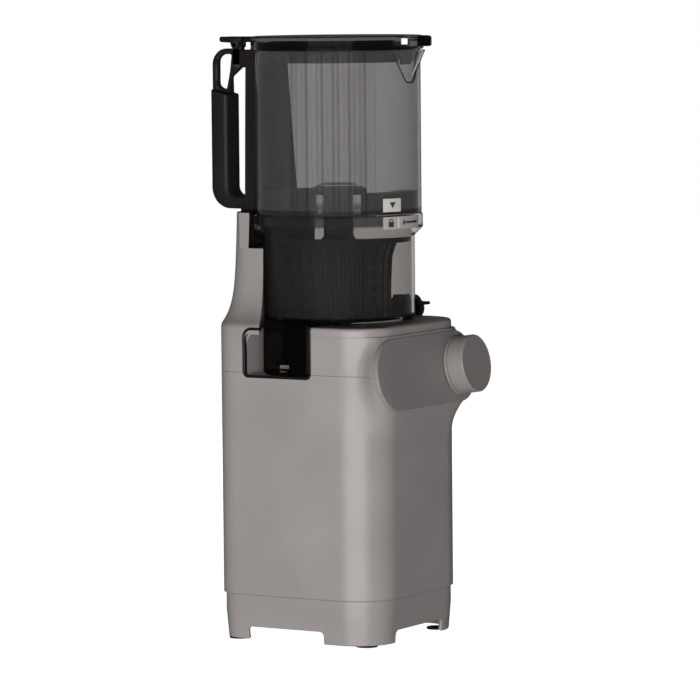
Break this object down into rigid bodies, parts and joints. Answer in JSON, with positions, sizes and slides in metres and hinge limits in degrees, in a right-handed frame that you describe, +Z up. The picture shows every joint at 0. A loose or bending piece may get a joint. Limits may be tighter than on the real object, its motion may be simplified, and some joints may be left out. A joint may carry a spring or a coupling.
{
  "type": "cold press juicer",
  "caption": "Upright cold press juicer: see-through hopper with hinged lid, straining drum, geared motor base and a control knob.",
  "frame": {"origin": "on the floor, under the vertical juicing axis", "axes": "+Z up along the juicing axis; -Y is the front, where the control knob is; -X is the side of the pulp outlet"},
  "size_m": [0.1923, 0.2297, 0.5049],
  "materials": {
    "body": "satin warm grey",
    "panel": "satin dark grey",
    "knob": "satin grey",
    "dark": "glossy near-black",
    "handle": "satin brown-black",
    "smoke_clear": "clear smoky copolyester",
    "smoke_drum": "dark smoky copolyester",
    "smoke_lid": "dark smoky copolyester",
    "filter": "dark filled resin",
    "rubber": "matt",
    "silicone": "silicone",
    "steel": "turned",
    "copper": "wound wire",
    "cast": "die-cast",
    "can": "dark paint",
    "gear": "machined",
    "board": "circuit board",
    "inner": "moulded",
    "mark": "printed plate"
  },
  "bodies": {
    "base": {"base_skirt": "body", "foot_pads": "rubber", "base_plate": "inner", "base_screws": "steel", "lower_casing": "body", "upper_casing": "body", "deck": "body", "deck_screws": "steel", "head_shell": "body", "control_panel": "panel", "rotary_switch": "inner", "outlet_bay": "body", "outlet_trim": "dark", "power_inlet": "inner", "circuit_board": "board", "interlock_switch": "inner", "chassis": "cast", "motor_can": "can", "stator": "copper", "motor_bearings": "steel", "gearbox_case": "cast", "gearbox_cover": "cast", "counter_shaft": "steel", "drive_bearing": "steel"},
    "knob": {"knob": "knob", "knob_shaft": "steel"},
    "rotor": {"rotor": "steel", "motor_shaft": "steel", "cooling_fan": "inner", "motor_pinion": "gear"},
    "counter": {"counter_gear": "gear"},
    "output": {"output_gear": "gear", "drive_shaft": "steel"},
    "drum": {"drum": "smoke_drum", "drum_base": "smoke_drum", "pulp_duct": "smoke_drum", "juice_spout": "smoke_drum", "drum_seal": "silicone", "outlet_plug": "silicone", "drum_mark": "mark", "strainer": "filter", "spout_pin": "steel"},
    "auger": {"auger": "filter", "auger_cutter": "filter"},
    "juice_cap": {"spout_cap": "dark"},
    "hopper": {"hopper": "smoke_clear", "hopper_ribs": "smoke_clear", "hopper_blocks": "filter", "hopper_mark": "mark", "spine": "handle", "handle": "handle", "hinge_pin": "steel"},
    "interlock": {"interlock_bar": "handle"},
    "lid": {"lid": "smoke_lid", "lid_seal": "dark", "spout_guard": "dark", "lid_mark": "mark"}
  },
  "joints": [
    {"name": "knob_turn", "type": "hinge", "parent": "base", "child": "knob", "pos_m": [0.051, -0.0855, 0.2265], "axis": [0, -0.989, 0.1478], "range_deg": [-50, 50]},
    {"name": "rotor_spin", "type": "hinge", "parent": "base", "child": "rotor", "pos_m": [0, 0, 0.1], "axis": [0, 0, 1], "continuous": true},
    {"name": "counter_spin", "type": "hinge", "parent": "base", "child": "counter", "pos_m": [0, 0.03, 0.165], "axis": [0, 0, 1], "continuous": true},
    {"name": "output_spin", "type": "hinge", "parent": "base", "child": "output", "pos_m": [0, 0, 0.2], "axis": [0, 0, 1], "continuous": true},
    {"name": "drum_lift", "type": "slide", "parent": "base", "child": "drum", "axis": [0, 0, 1], "range_m": [0, 0.12]},
    {"name": "auger_spin", "type": "hinge", "parent": "drum", "child": "auger", "pos_m": [0, 0, 0.3], "axis": [0, 0, 1], "continuous": true},
    {"name": "juice_cap_hinge", "type": "hinge", "parent": "drum", "child": "juice_cap", "pos_m": [0.081, -0.0092, 0.2748], "axis": [0, 0, 1], "range_deg": [0, 95]},
    {"name": "hopper_lift", "type": "slide", "parent": "drum", "child": "hopper", "axis": [0, 0, 1], "range_m": [0, 0.2]},
    {"name": "lid_hinge", "type": "hinge", "parent": "hopper", "child": "lid", "pos_m": [0, 0.0975, 0.497], "axis": [-1, 0, 0], "range_deg": [0, 100]},
    {"name": "interlock_slide", "type": "slide", "parent": "hopper", "child": "interlock", "axis": [0, 0, 1], "range_m": [0, 0.0082]}
  ],
  "couplings": [
    {"joint": "counter_spin", "follows": "rotor_spin", "ratio": -0.25},
    {"joint": "output_spin", "follows": "rotor_spin", "ratio": 0.0625},
    {"joint": "auger_spin", "follows": "rotor_spin", "ratio": 0.0625},
    {"joint": "interlock_slide", "follows": "lid_hinge", "m_per_rad": 0.00458}
  ]
}
